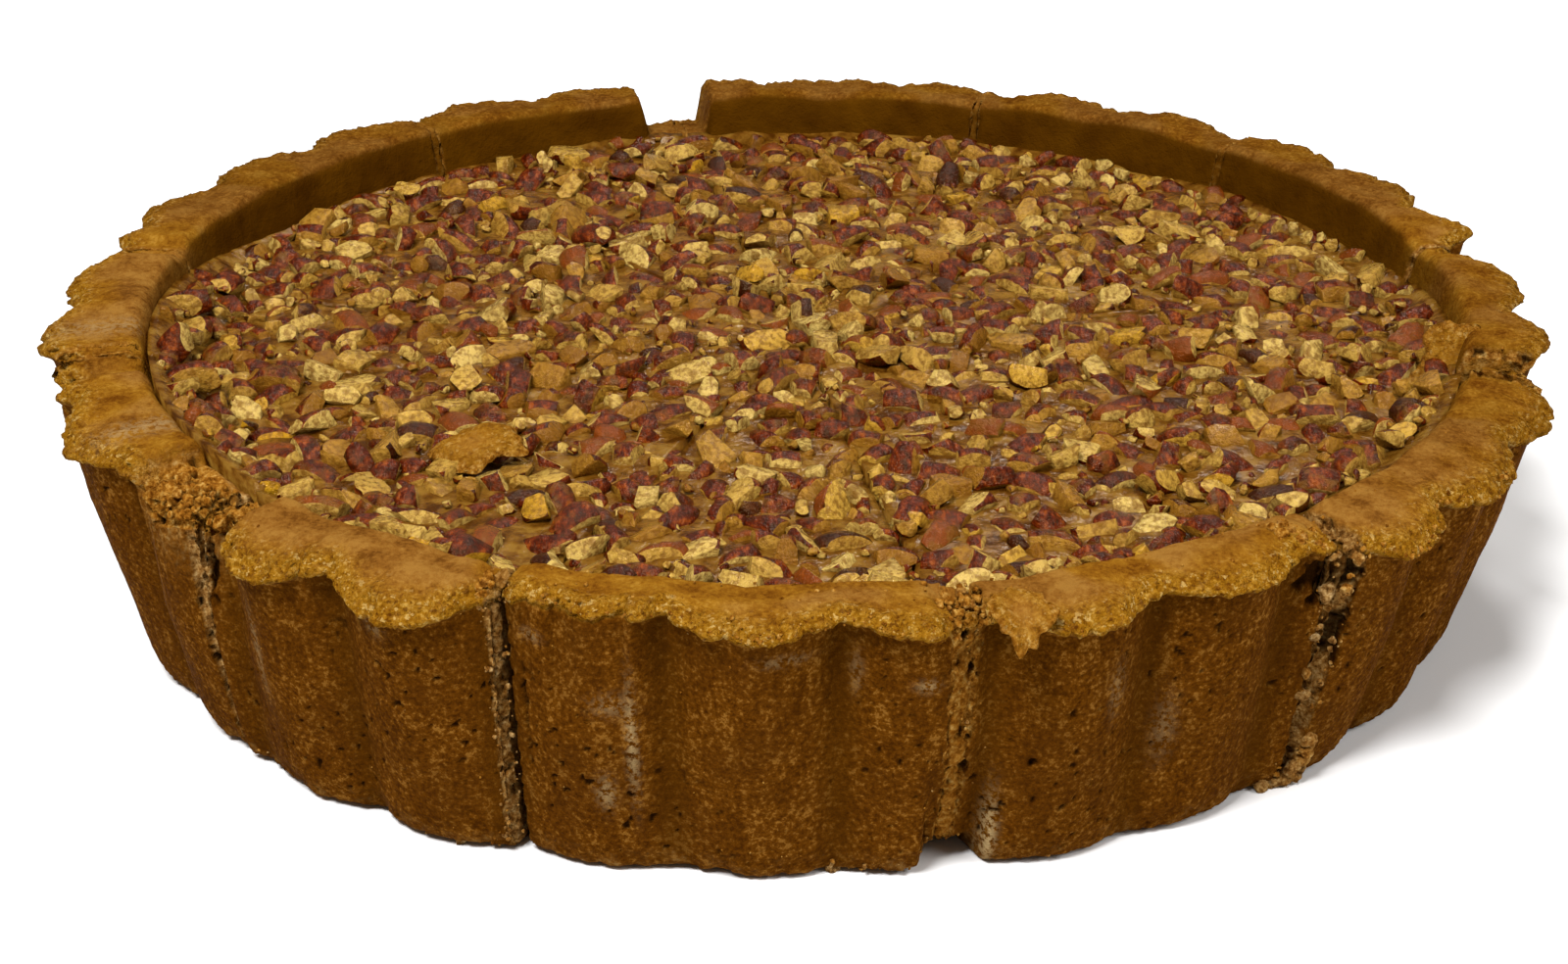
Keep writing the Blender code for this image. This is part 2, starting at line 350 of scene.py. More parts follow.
# ---------------------------------------------------------------------------------------------
# Crust
# ---------------------------------------------------------------------------------------------


def off_centre(radius, centre, angles):
    return radius + directions(angles) @ np.array(centre)


def lost(places, column, angles):
    worst = np.zeros(len(angles))
    for place in places:
        inside = smooth(0.0, 1.0, (place[1] + BREAK_EDGE / 2.0 - apart(angles, place[0])) / BREAK_EDGE)
        worst = np.maximum(worst, inside * place[column])
    return worst


def uneven(angles, seed, size):
    """The CAD rim's own waviness."""
    spots = directions(angles) * 9.0
    return np.array([size * noise.noise(Vector((x, y, seed))) for x, y in spots])


def scallop(angles):
    """1 at a flute's crown and near 0 at the sharp valley between two flutes."""
    wave = np.sin(np.radians((angles - FLUTE_PHASE) * FLUTES / 2.0))
    return np.sqrt(wave * wave + 0.01) / math.sqrt(1.01)


def crust_outline(angles, shape):
    """The crust's outline at each angle and the core it crumbles towards, as (point, r and z, angle)."""
    droop, reach, rise, flute_shift = shape
    arc = np.radians(angles) * WALL_RADIUS
    crown = scallop(angles - flute_shift)
    valley = 1.0 - crown
    lip_lost = lost(BREAKS, 3, angles)
    droop = droop * (VALLEY_DROOP + (1.0 - VALLEY_DROOP) * crown)
    droop = droop * np.clip(1.0 - BROKEN_DROOP * lip_lost, 0.0, None)
    top = HEIGHT + rise - lost(BREAKS, 2, angles) + uneven(angles, 1.0, RIM_WAVINESS)
    base = off_centre(BASE_RADIUS, BASE_CENTRE, angles) - valley * BASE_FLUTE_DEPTH
    unbroken = LIP_RADIUS + reach + uneven(angles, 5.0, LIP_WAVINESS)
    wall_top = unbroken - LIP_OVERHANG - valley * WALL_TOP_FLUTE_DEPTH
    inner = off_centre(RIM_INNER_RADIUS, INNER_CENTRE, angles)
    floor = off_centre(FLOOR_INNER_RADIUS, INNER_CENTRE, angles)
    # The lip's edge is ragged, with small bites out of it.
    ragged = 0.5 * along(arc, 8.0, 3) + 0.4 * along(arc, 3.0, 4) + 0.3 * along(arc, 1.3, 5)
    ragged -= 1.3 * smooth(0.35, 0.5, along(arc, 5.0, 6)) + 0.8 * smooth(0.3, 0.45, along(arc, 2.2, 7))
    lip = unbroken - valley * LIP_FLUTE_DEPTH - lip_lost + ragged
    lip = np.maximum(lip, inner + RIM_LEAST_WIDTH)
    droop = droop + 0.5 * along(arc, 6.0, 8) + 0.4 * along(arc, 2.0, 9) + 0.3 * along(arc, 1.1, 12)
    shoulder = lip - np.minimum(LIP_SHOULDER, LIP_SHOULDER_SHARE * (lip - inner))
    middle = (lip + inner) / 2.0
    chip = lost(BASE_CHIPS, 2, angles)
    foot = chip + 0.7 * smooth(0.1, 0.6, along(arc, 4.0, 10)) + 0.25 * along(arc, 1.6, 11)
    tip = np.full(len(angles), TIP_RADIUS)
    flat = np.zeros(len(angles))
    root = top - droop - LIP_ROOT_DROP

    def wall(z):
        return base + (wall_top - base) * z / HEIGHT

    low_inner = np.minimum(flat + LEVEL - 3.0, top - 2.6)
    inner_corner = FLOOR_THICKNESS + CORNER
    inner_share = (low_inner - inner_corner) / (HIGHEST_RIM - inner_corner)
    outline = (
        (tip, flat),
        (base - CORNER - foot, flat),
        (base - FOOT_SETBACK - foot, flat + FOOT_HEIGHT),
        (wall(CHIP_TOP) - CHIP_TOP_SHARE * chip, flat + CHIP_TOP),
        (wall(HEIGHT / 2.0) + WALL_BOW, flat + HEIGHT / 2.0),
        (np.minimum(wall(root), lip), root),
        (lip - LIP_UNDERCUT, top - droop - LIP_UNDERSIDE_DROP),
        (lip, top - droop - LIP_EDGE_DROP),
        (shoulder, top - droop * SHOULDER_DROOP),
        (middle, top - droop * MIDDLE_DROOP),
        (inner + INNER_EDGE_ROUND, top),
        (inner, top - INNER_EDGE_ROUND),
        (floor + (inner - floor) * inner_share, low_inner),
        (floor, flat + inner_corner),
        (floor - CORNER, flat + FLOOR_THICKNESS),
        (tip, flat + FLOOR_THICKNESS),
    )
    half = FLOOR_THICKNESS / 2.0
    centre = (wall(HEIGHT / 2.0) + inner) / 2.0
    high = (wall_top + inner) / 2.0
    core = (
        (tip, flat + half),
        (base - 8.0, flat + half),
        (base - 8.0, flat + half + 0.5),
        (base - 7.0, flat + 6.0),
        (centre, flat + HEIGHT / 2.0),
        (high, root - 1.0),
        (middle + 0.6, top - 4.4),
        (middle + 0.6, top - 4.0),
        (middle + 0.4, top - 3.6),
        (middle, top - 3.6),
        (middle - 0.8, top - 4.0),
        (middle - 1.0, top - 4.4),
        (high - 1.0, flat + LEVEL - 4.0),
        ((base + floor) / 2.0, flat + inner_corner),
        (floor - CORNER, flat + half),
        (tip, flat + half),
    )
    return np.array(outline), np.array(core)


# The number of rows on each side of the outline: lengths in mm where the rows are fine, as many
# rows as given where they are not.
FINE_SIDES = {1: 2.8, 2: 4.0, 3: 18.5, 4: 18.5, 5: 3.4, 6: 2.4, 7: 3.2, 8: 6.0, 9: 6.0, 10: 1.9, 11: 8.5}
COARSE_SIDES = {0: 7, 12: 4, 13: 2, 14: 6, 15: 2}
WORN_ROUND = 0.25


def outline_rows(grain):
    """The side and the share along it of each row of the crust's grid, and which rows are fine."""
    sides, shares, fine = [], [], []
    for side in range(16):
        if side in FINE_SIDES:
            count = max(2, round(FINE_SIDES[side] / grain))
        else:
            count = COARSE_SIDES[side]
        sides += [side] * count
        shares += [i / count for i in range(count)]
        fine += [side in FINE_SIDES] * count
    return np.array(sides), np.array(shares), np.array(fine)


def column_angles(start, end):
    """The angles of a slice's grid columns, closer together beside a cut that shows at the front."""
    length = math.radians(end - start) * WALL_RADIUS
    grain = FRONT_GRAIN if apart((start + end) / 2.0, 0.0) < 78.0 else BACK_GRAIN
    places = [0.0]
    while places[-1] < length:
        here = places[-1]
        at_first = here < CUT_GRAIN_REACH and round(start % 360.0, 1) in CUTS
        at_last = length - here < CUT_GRAIN_REACH and round(end % 360.0, 1) in CUTS
        places.append(here + (CUT_GRAIN if at_first or at_last else grain))
    places = np.array(places) * length / places[-1]
    return start + np.degrees(places / WALL_RADIUS), grain


def between(points, sides, shares):
    """Points along an outline's sides: (row, angle, r and z)."""
    a = points[sides]
    b = points[(sides + 1) % len(points)]
    return a + (b - a) * shares[:, None, None]


def worn(rows, fine, passes):
    """The outline with its fine corners worn round."""
    for _ in range(passes):
        blurred = 0.25 * np.roll(rows, 1, axis=0) + 0.5 * rows + 0.25 * np.roll(rows, -1, axis=0)
        rows = np.where(fine[:, None, None], blurred, rows)
    return rows


INSETS = (0.05, 0.12, 0.22, 0.36, 0.55, 0.8)


class CrustGrid:
    """A stretch of crust as a grid of points swept round the pie, closed by its two cut faces."""

    def __init__(self, angles, shape, grain):
        sides, shares, fine = outline_rows(grain)
        outline, core = crust_outline(angles, shape)
        outline = np.moveaxis(outline, 1, 2)
        core = np.moveaxis(core, 1, 2)
        skin = worn(between(outline, sides, shares), fine, max(1, round(WORN_ROUND / grain**2)))
        heart = between(core, sides, shares)
        last = len(angles) - 1
        column = np.concatenate([np.zeros(len(INSETS), int), np.arange(last + 1), np.full(len(INSETS), last)])
        self.inset = np.concatenate([INSETS[::-1], np.zeros(last + 1), INSETS])
        self.skin = skin[:, column].transpose(1, 0, 2)
        self.heart = heart[:, column].transpose(1, 0, 2)
        self.angle = angles[column]
        self.out = directions(self.angle)
        self.row = sides + shares
        self.size = self.skin.shape[:2]
        self.place = self.placed(self.skin)

    def placed(self, section):
        place = np.empty(self.size + (3,))
        place[..., :2] = section[..., :1] * self.out[:, None, :]
        place[..., 2] = section[..., 1]
        return place

    def field(self, maker, *details):
        """Noise at every grid point."""
        return maker(self.place.reshape(-1, 3), *details).reshape(self.size)

    def spots(self, spacing, seed):
        away, pick = cells(self.place.reshape(-1, 3), spacing, seed)
        return away.reshape(self.size), pick.reshape(self.size)

    def crumble(self, depth):
        """Moves the surface towards the core by a depth in mm, and closes the cut faces."""
        reachable = np.linalg.norm(self.heart - self.skin, axis=-1) + 1e-6
        share = np.clip(np.clip(depth, 0.0, None) / reachable, 0.0, 0.8)
        share = 1.0 - (1.0 - share) * (1.0 - self.inset[:, None])
        self.section = self.skin + (self.heart - self.skin) * share[..., None]
        self.place = self.placed(self.section)

    def push(self, height):
        """Moves the surface out along its own direction by a height in mm."""
        normal = np.cross(np.gradient(self.place, axis=1), np.gradient(self.place, axis=0))
        normal /= np.linalg.norm(normal, axis=-1, keepdims=True) + 1e-9
        if np.sum(normal[:, self.size[1] // 4, :2] * self.out) < 0.0:
            normal = -normal
        height = height * np.where(self.inset > 0.4, 0.0, 1.0)[:, None]
        self.place = self.place + normal * height[..., None]
        self.place[..., 2] = np.maximum(self.place[..., 2], 0.0)

    def part(self, rise_from, rise_to, fall_from, fall_to):
        """1 on some of the outline's sides, soft at both ends."""
        band = smooth(rise_from, rise_to, self.row) * (1.0 - smooth(fall_from, fall_to, self.row))
        return band[None, :] + np.zeros(self.size)

    def marked(self, marks):
        """How strongly soft round marks show at every grid point."""
        shown = np.zeros(self.size)
        for at, z, half_width, half_height, strength in marks:
            aside = signed_apart(self.angle, at) * math.radians(WALL_RADIUS)
            away = (aside[:, None] / half_width) ** 2 + ((self.place[..., 2] - z) / half_height) ** 2
            shown = np.maximum(shown, strength * np.exp(-away))
        return shown

    def faces(self):
        columns, rows = self.size
        quads = stitched(columns, rows).tolist()
        for column in (0, columns - 1):
            outline = [Vector((r, z, 0.0)) for r, z in self.section[column]]
            for triangle in geometry.tessellate_polygon([outline]):
                quads.append([column * rows + i for i in triangle])
        return quads


def crust_finish_values(grid, broken, tone, flute_shift, shift):
    """Roughens the crust's surface and gives the values that its colours are mixed by."""
    wall = grid.part(1.6, 2.4, 5.1, 5.8)
    rim = grid.part(5.3, 6.2, 11.2, 11.9)
    edge = grid.part(5.4, 6.2, 7.6, 8.9)
    foot = grid.part(0.9, 1.3, 2.2, 3.1)
    at_back = smooth(80.0, 110.0, apart(grid.angle, 0.0))[:, None]
    inside = at_back * grid.part(10.4, 11.1, 12.5, 13.0)
    inside = np.maximum(inside, grid.part(10.9, 11.7, 12.5, 13.0))
    at, half_width = TORN_BREAK
    torn = smooth(half_width + 0.7, half_width - 0.7, apart(grid.angle, at))
    torn = torn[:, None] * grid.part(4.4, 5.6, 9.8, 11.0)
    broken = np.clip(broken + torn, 0.0, 1.0)
    # 1 in a flute's valley, where the finish paints shade.
    valley = (1.0 - scallop(grid.angle - flute_shift))[:, None] + np.zeros(grid.size)

    broad = grid.field(layers, 15.0, 2, 30)
    bumps = grid.field(layers, 3.4, 3, 31)
    sandy = grid.field(waves, 0.95, 32)
    chunky = grid.field(waves, 1.7, 36)
    spot, pick = grid.spots(1.5, 33)
    grain, grain_pick = grid.spots(0.8, 37)
    pits = grid.field(waves, 1.35, 34)
    where = grid.field(waves, 40.0, 35)
    lumps = np.clip(0.62 - spot, 0.0, 1.0) * (pick > 0.45)
    grains = np.clip(0.6 - grain, 0.0, 1.0) * (grain_pick > 0.4)
    visible = np.clip(wall + rim + foot + inside, 0.0, 1.0)
    height = visible * (0.26 * broad + 0.10 * bumps + 0.05 * sandy)
    height += rim * (1.0 - edge) * (0.18 * bumps + 0.25 * broad)
    height += edge * (0.38 * bumps + 0.24 * sandy + 0.75 * grains)
    height += broken * (1.1 * lumps + 0.5 * grains - 0.35 + 0.5 * chunky + 0.2 * sandy)
    height += torn * (1.1 * grid.field(waves, 4.5, 39) - 0.4)
    height += foot * (0.35 * bumps + 0.4 * lumps + 0.3 * grains)
    # Small pits pressed into the wall and the rim's edge; the finish paints them near-black as painted shade.
    pores = smooth(0.48, 0.62, pits) * smooth(-0.2, 0.4, where) * wall * (1.0 - broken)
    rim_pores = smooth(0.5, 0.64, pits) * smooth(-0.3, 0.3, -where) * edge * (1.0 - broken)
    height -= 0.5 * pores + 0.4 * rim_pores
    hollow = grid.field(waves, 2.6, 38)
    holes = np.maximum(broken * smooth(0.32, 0.52, hollow), torn * smooth(0.14, 0.32, hollow))
    hollowed = grid.marked(SHADED_HOLLOWS) * wall
    holes = np.maximum(holes, smooth(0.3, 0.6, hollowed + 0.35 * hollow + 0.25 * pits))
    cut_face = smooth(0.0, 0.1, grid.inset)[:, None]
    holes *= 1.0 - cut_face
    height -= 1.6 * holes
    grid.push(height)
    grid.place[..., :2] += shift

    flour = grid.marked(FLOUR_MARKS)
    # Painted shade: near-black in the holes and between the crumb lumps of broken crust.
    deep = np.clip(holes + broken * smooth(0.62, 0.9, spot) * 0.3, 0.0, 1.0)
    # Painted shade on the slices' cut faces, which face the narrow gaps between the slices.
    deep = np.maximum(deep, 0.3 * cut_face)
    # Painted shade: the rim's gold gives way to the wall's brown over the stretches listed above; at the back it
    # stands for the shadow on the back rim.
    rim_darkening = np.zeros(len(grid.angle))
    for at, half_width, strength in RIMS_PAINTED_DEEPER:
        rim_darkening = np.maximum(rim_darkening, strength * smooth(half_width, half_width - 16.0, apart(grid.angle, at)))
    broken = broken * (1.0 - 0.5 * cut_face)
    crumbly = np.clip(broken + 0.35 * foot * smooth(-0.1, 0.5, bumps) + 0.9 * edge * grains, 0.0, 1.0)
    return {
        "gold": rim * (1.0 - rim_darkening[:, None]),
        "crumb": crumbly,
        "tone": np.maximum(tone, torn),
        "edge": edge,
        "inside": inside,
        "recess_shade": np.clip(pores + rim_pores + deep, 0.0, 1.0),
        "flour": flour,
        "valley": valley,
    }


def crust_slice(number, start, end, slide, shape, material):
    """One slice's crust, crumbled along its two cuts."""
    middle = (start + end) / 2.0
    angles, grain = column_angles(start, end)
    grid = CrustGrid(angles, shape, grain)
    rough = grid.field(layers, 3.0, 3, 20)
    chunky = grid.field(waves, 1.4, 21)
    up = np.clip(grid.skin[..., 1] / HEIGHT, 0.0, 1.0)
    depth = np.zeros(grid.size)
    broken = np.zeros(grid.size)
    tone = np.full(grid.size, 0.6)
    for distance, cut, side in ((grid.angle - start, start, 1), (end - grid.angle, end, 0)):
        details = CUTS.get(round(cut % 360.0, 1), PLAIN_CUT)
        width, deep, wider_at_top = details[side]
        width = (width + wider_at_top * up) * np.clip(1.0 + 0.55 * rough, 0.25, 2.0)
        near = 1.0 - np.clip(np.radians(distance)[:, None] * WALL_RADIUS / width, 0.0, 1.0)
        depth = np.maximum(depth, deep * smooth(0.0, 0.5, near) * (1.0 + 0.35 * rough + 0.4 * chunky))
        broken = np.maximum(broken, smooth(0.0, 0.2, near))
        tone = np.where(near > 0.0, 0.25 + 0.6 * details[2][3], tone)
    grid.crumble(depth)
    shift = np.array(CUTS_MEET) + directions(middle) * slide
    values = crust_finish_values(grid, broken, tone, shape[3], shift)
    flat_values = {key: value.ravel() for key, value in values.items()}
    piece = make(f"crust_slice_{number:02d}", grid.place.reshape(-1, 3), grid.faces(), flat_values, material)
    outward(piece)
    settle(piece, "crust", f"crust_{number:02d}")


def crust_seam(number, cut, before, after, material):
    """The crumbs that bridge the cut between two slices, lying back from the crust's surface."""
    width, aside, recess, golden, ends_at, roughness = CUTS.get(round(cut % 360.0, 1), PLAIN_CUT)[2]
    half = math.degrees(width / 2.0 / WALL_RADIUS)
    centre = cut + math.degrees(aside / WALL_RADIUS)
    columns = max(5, round(width / (CUT_GRAIN * 1.1)))
    angles = np.linspace(centre - half, centre + half, columns)
    shape = [(a + b) / 2.0 for a, b in zip(before["shape"], after["shape"])]
    grid = CrustGrid(angles, shape, FRONT_GRAIN)
    rough = grid.field(layers, 3.4, 3, 40)
    chunky = grid.field(waves, 1.5, 41)
    below = smooth(ends_at, ends_at - 1.0, grid.skin[..., 1] + 1.2 * rough) if ends_at > 0.0 else 0.0
    side = np.abs(signed_apart(grid.angle, centre))[:, None] / half
    crack = smooth(0.6, 0.85, side + 0.45 * rough)
    depth = recess + roughness * (0.9 * rough + 0.7 * chunky) + 7.0 * below + 1.5 * crack
    grid.crumble(depth)
    broken = roughness * np.ones(grid.size)
    tone = np.clip(golden + 0.25 * rough, 0.0, 1.0)
    shift = np.array(CUTS_MEET) + (before["slid"] + after["slid"]) / 2.0
    values = crust_finish_values(grid, broken, tone, shape[3], shift)
    # Painted shade in the cracks along both sides of the seam.
    values["recess_shade"] = np.clip(values["recess_shade"] + 0.3 * roughness * crack, 0.0, 1.0)
    flat_values = {key: value.ravel() for key, value in values.items()}
    name = f"crumb_seam_{number:02d}"
    piece = make(name, grid.place.reshape(-1, 3), grid.faces(), flat_values, material)
    outward(piece)
    settle(piece, "crust")


# ---------------------------------------------------------------------------------------------
# Filling
# ---------------------------------------------------------------------------------------------


def inner_radius(angles, z):
    """The crust's inner face at a height."""
    inner = off_centre(RIM_INNER_RADIUS, INNER_CENTRE, angles)
    floor = off_centre(FLOOR_INNER_RADIUS, INNER_CENTRE, angles)
    low = FLOOR_THICKNESS + CORNER
    return floor + (inner - floor) * (z - low) / (HIGHEST_RIM - low)


# How far the filling climbs the crust round the front half, and how much further at the left.
CLIMB = 3.6
LEFT_CLIMB = 1.6


def caramel_level(points):
    """The height of the caramel over horizontal places, measured before the slices slid."""
    spots = np.column_stack([points[:, 0], points[:, 1], np.zeros(len(points))])
    angles = np.degrees(np.arctan2(points[:, 0], -points[:, 1]))
    to_crust = inner_radius(angles, LEVEL) - np.hypot(points[:, 0], points[:, 1])
    climb = CLIMB * smooth(115.0, 85.0, apart(angles, 0.0)) + LEFT_CLIMB * smooth(42.0, 22.0, apart(angles, 280.0))
    climb = climb * smooth(8.0, 0.5, to_crust)
    return LEVEL + climb + 0.6 * waves(spots, 24.0, 50) + 0.5 * layers(spots, 6.0, 2, 51)


def filling_slice(number, start, end, slid, material):
    """One slice's caramel: an undulating glossy top that climbs a little where it meets the crust."""
    columns = round((end - start) / 1.1)
    angles = np.linspace(start + 0.08, end - 0.08, columns + 1)
    ring_count = 74
    shares = (np.arange(ring_count + 1) / ring_count) ** 0.85
    out = inner_radius(angles, LEVEL + CLIMB) + 0.5
    radius = TIP_RADIUS + (out - TIP_RADIUS)[:, None] * shares[None, :]
    way = directions(angles)
    top = np.empty((columns + 1, ring_count + 1, 3))
    top[..., :2] = radius[..., None] * way[:, None, :]
    flat = top[..., :2].reshape(-1, 2)
    spots = np.column_stack([flat, np.zeros(len(flat))])
    top[..., 2] = (caramel_level(flat) + 0.25 * layers(spots, 2.6, 2, 53)).reshape(top.shape[:2])
    top[..., 2] += 1.2 * smooth(3.0, 0.0, out[:, None] - radius)
    corner = off_centre(FLOOR_INNER_RADIUS, INNER_CENTRE, angles) - GAP
    low = FLOOR_THICKNESS + GAP
    level = np.ones(columns + 1)
    under = (
        (out - 1.0, LEVEL - 6.0),
        (corner, low + CORNER),
        (corner - CORNER - GAP, low),
        (TIP_RADIUS * level, low),
    )
    rest = np.empty((columns + 1, len(under), 3))
    for i, (reach, z) in enumerate(under):
        rest[:, i, :2] = reach[:, None] * way
        rest[:, i, 2] = z
    grid = np.concatenate([top, rest], axis=1)
    rows = grid.shape[1]
    faces = stitched(columns + 1, rows).tolist()
    for column in (0, columns):
        section = [Vector((math.hypot(x, y), z, 0.0)) for x, y, z in grid[column]]
        for triangle in geometry.tessellate_polygon([section]):
            faces.append([column * rows + i for i in triangle])
    grid[..., :2] += slid + np.array(CUTS_MEET)
    piece = make(f"caramel_slice_{number:02d}", grid.reshape(-1, 3), faces, {}, material)
    outward(piece)
    settle(piece, "filling", f"filling_{number:02d}")


# ---------------------------------------------------------------------------------------------
# Chopped pecans
# ---------------------------------------------------------------------------------------------


def arrays(shape):
    """A bmesh's points and triangles, and which triangles were marked as broken flesh."""
    bmesh.ops.triangulate(shape, faces=shape.faces[:])
    shape.verts.index_update()
    points = np.array([vertex.co[:] for vertex in shape.verts])
    faces = np.array([[vertex.index for vertex in face.verts] for face in shape.faces])
    flesh = np.array([face.material_index == 1 for face in shape.faces])
    shape.free()
    return points, faces, flesh


def chopped(rng, length, width, thick, detail, bevel):
    """A chopped piece of nut: a lobe with flat breaks round and under it, its skin left on top."""
    shape = bmesh.new()
    bmesh.ops.create_icosphere(shape, subdivisions=detail, radius=0.5)
    lobe = (1.5 * length, 1.4 * width, 1.5 * thick)
    seat = rng.uniform(0.0, 90.0, 3)
    for vertex in shape.verts:
        vertex.co = Vector([a * b for a, b in zip(vertex.co, lobe)])
    breaks = (
        (1.0, 0.0, 0.0, 0.5 * length),
        (-1.0, 0.0, 0.0, 0.5 * length),
        (0.0, 1.0, 0.0, 0.5 * width),
        (0.0, -1.0, 0.0, 0.5 * width),
        (0.0, 0.0, -1.0, 0.35 * thick),
    )
    for x, y, z, away in breaks:
        normal = (Vector((x, y, z)) + Vector(rng.normal(0.0, 0.3, 3))).normalized()
        everything = shape.verts[:] + shape.edges[:] + shape.faces[:]
        spot = normal * away * rng.uniform(0.7, 1.0)
        bmesh.ops.bisect_plane(shape, geom=everything, plane_co=spot, plane_no=normal, clear_outer=True)
        rims = [edge for edge in shape.edges if edge.is_boundary]
        for face in bmesh.ops.holes_fill(shape, edges=rims, sides=0)["faces"]:
            face.material_index = 1
    if bevel > 0.0:
        sharp = [edge for edge in shape.edges if len(edge.link_faces) == 2 and edge.calc_face_angle() > 0.6]
        bmesh.ops.bevel(
            shape, geom=sharp, offset=bevel, segments=1, profile=0.5, affect="EDGES", clamp_overlap=True, material=1
        )
    points, faces, flesh = arrays(shape)
    points -= points.mean(axis=0)
    points += 0.22 * np.column_stack([waves(points + seat, 1.6, 61 + i) for i in range(3)])
    limit = 0.62 * np.array([length, width, 1.3 * thick])
    return np.clip(points, -limit, limit), faces, flesh


def turned(rng, tilt):
    """A random turn about the vertical after a random tilt."""
    spin = rng.uniform(0.0, 2.0 * math.pi)
    lean = rng.normal(0.0, tilt)
    about = rng.uniform(0.0, 2.0 * math.pi)
    axis = np.array([math.cos(about), math.sin(about), 0.0])
    k = np.array([[0, -axis[2], axis[1]], [axis[2], 0, -axis[0]], [-axis[1], axis[0], 0]])
    tilted = np.eye(3) + math.sin(lean) * k + (1.0 - math.cos(lean)) * (k @ k)
    c, s = math.cos(spin), math.sin(spin)
    return np.array([[c, -s, 0], [s, c, 0], [0, 0, 1]]) @ tilted


class Spread:
    """Finds free places over the filling for chips of different sizes."""

    CELL = 6.0

    def __init__(self):
        self.taken = {}

    def free(self, x, y, size):
        i, j = int(x // self.CELL), int(y // self.CELL)
        for di in (-1, 0, 1):
            for dj in (-1, 0, 1):
                for ox, oy, other in self.taken.get((i + di, j + dj), ()):
                    if (x - ox) ** 2 + (y - oy) ** 2 < (size + other) ** 2:
                        return False
        self.taken.setdefault((i, j), []).append((x, y, size))
        return True


# Each kind of chip: name, tries, length, width, thickness, how crowded, lift, tilt, share with its
# skin up, detail of the lobe and width of the worn edges.
CHIP_KINDS = (
    ("pecan_chips_large", 2200, (6.2, 8.4), (3.8, 5.2), (2.8, 3.8), 0.95, -0.3, 0.4, 0.76, 3, 0.4),
    ("pecan_chips", 8000, (4.2, 6.2), (3.0, 4.2), (2.4, 3.4), 0.94, -0.25, 0.5, 0.72, 2, 0.35),
    ("pecan_chips_small", 10000, (2.8, 4.2), (2.0, 3.2), (1.6, 2.6), 0.96, -0.1, 0.6, 0.62, 2, 0.25),
    ("pecan_bits", 7000, (1.3, 2.4), (1.0, 1.7), (0.8, 1.4), 1.1, 0.1, 0.6, 0.4, 1, 0.0),
)
FRONT_CUT = (10.7, 18.0, 104.0)


def on_front_cut(x, y, size):
    """Whether a chip would lie over the cut that shows between two front slices."""
    angle = math.degrees(math.atan2(x, -y))
    radius = math.hypot(x, y)
    at, near, far = FRONT_CUT
    return near < radius < far and abs(math.radians(angle - at)) * radius < 0.35 * size


def nuts(kind, spread, material, seed):
    """All chips of one kind as one mesh, each sunk partly into the caramel."""
    name, tries, lengths, widths, thicknesses, crowd, lift, tilt, skin_up, detail, bevel = kind
    rng = np.random.default_rng(seed)
    library = []
    for _ in range(36):
        sizes = (rng.uniform(*lengths), rng.uniform(*widths), rng.uniform(*thicknesses))
        library.append((chopped(rng, *sizes, detail, bevel), sizes))
    points, faces, skins, tones, picks, wets = [], [], [], [], [], []
    at = 0
    for _ in range(tries):
        radius = 112.0 * math.sqrt(rng.random())
        angle = rng.uniform(0.0, 360.0)
        (shape, triangles, flesh), sizes = library[rng.integers(len(library))]
        spin = turned(rng, tilt)
        flip, tone, pick, wet = rng.random(4)
        offset = rng.normal(0.0, 0.55)
        x, y = (directions(angle) * radius).tolist()
        across = 0.5 * math.sqrt(sizes[0] * sizes[1])
        reach = inner_radius(np.array([angle]), LEVEL + CLIMB)[0] + 1.3 - across
        if radius > reach or on_front_cut(x, y, sizes[0]):
            continue
        if not spread.free(x, y, across * crowd):
            continue
        if flip > skin_up:
            spin = spin @ np.diag([1.0, -1.0, -1.0])
        level = caramel_level(np.array([[x, y]]))[0]
        spot = np.array([x + CUTS_MEET[0], y + CUTS_MEET[1], level + lift + offset])
        points.append(shape @ spin.T + spot)
        faces.append(triangles + at)
        skins.append(~flesh)
        for values, value in ((tones, tone), (picks, pick), (wets, wet)):
            values.append(np.full(len(triangles), value))
        at += len(shape)
    face_values = {
        "skin": np.concatenate(skins),
        "tone": np.concatenate(tones),
        "pick": np.concatenate(picks),
        "wet": np.concatenate(wets),
    }
    piece = make(name, np.concatenate(points), np.concatenate(faces), {}, material, face_values)
    settle(piece, "filling")


# ---------------------------------------------------------------------------------------------
# Crumbs and torn flaps
# ---------------------------------------------------------------------------------------------


def slice_at(angle, slices):
    for one in slices:
        if one["start"] <= angle < one["end"] or one["start"] <= angle + 360.0 < one["end"]:
            return one
    raise ValueError(angle)


def on_crust(angle, row, slices):
    """The point on the crust's outline at an angle and at a side and share along it."""
    one = slice_at(angle % 360.0, slices)
    outline, _ = crust_outline(np.array([angle]), one["shape"])
    side = int(row)
    a, b = outline[side, :, 0], outline[(side + 1) % len(outline), :, 0]
    radius, z = a + (b - a) * (row - side)
    level = directions(angle) * radius + one["slid"] + np.array(CUTS_MEET)
    return np.array([level[0], level[1], z])


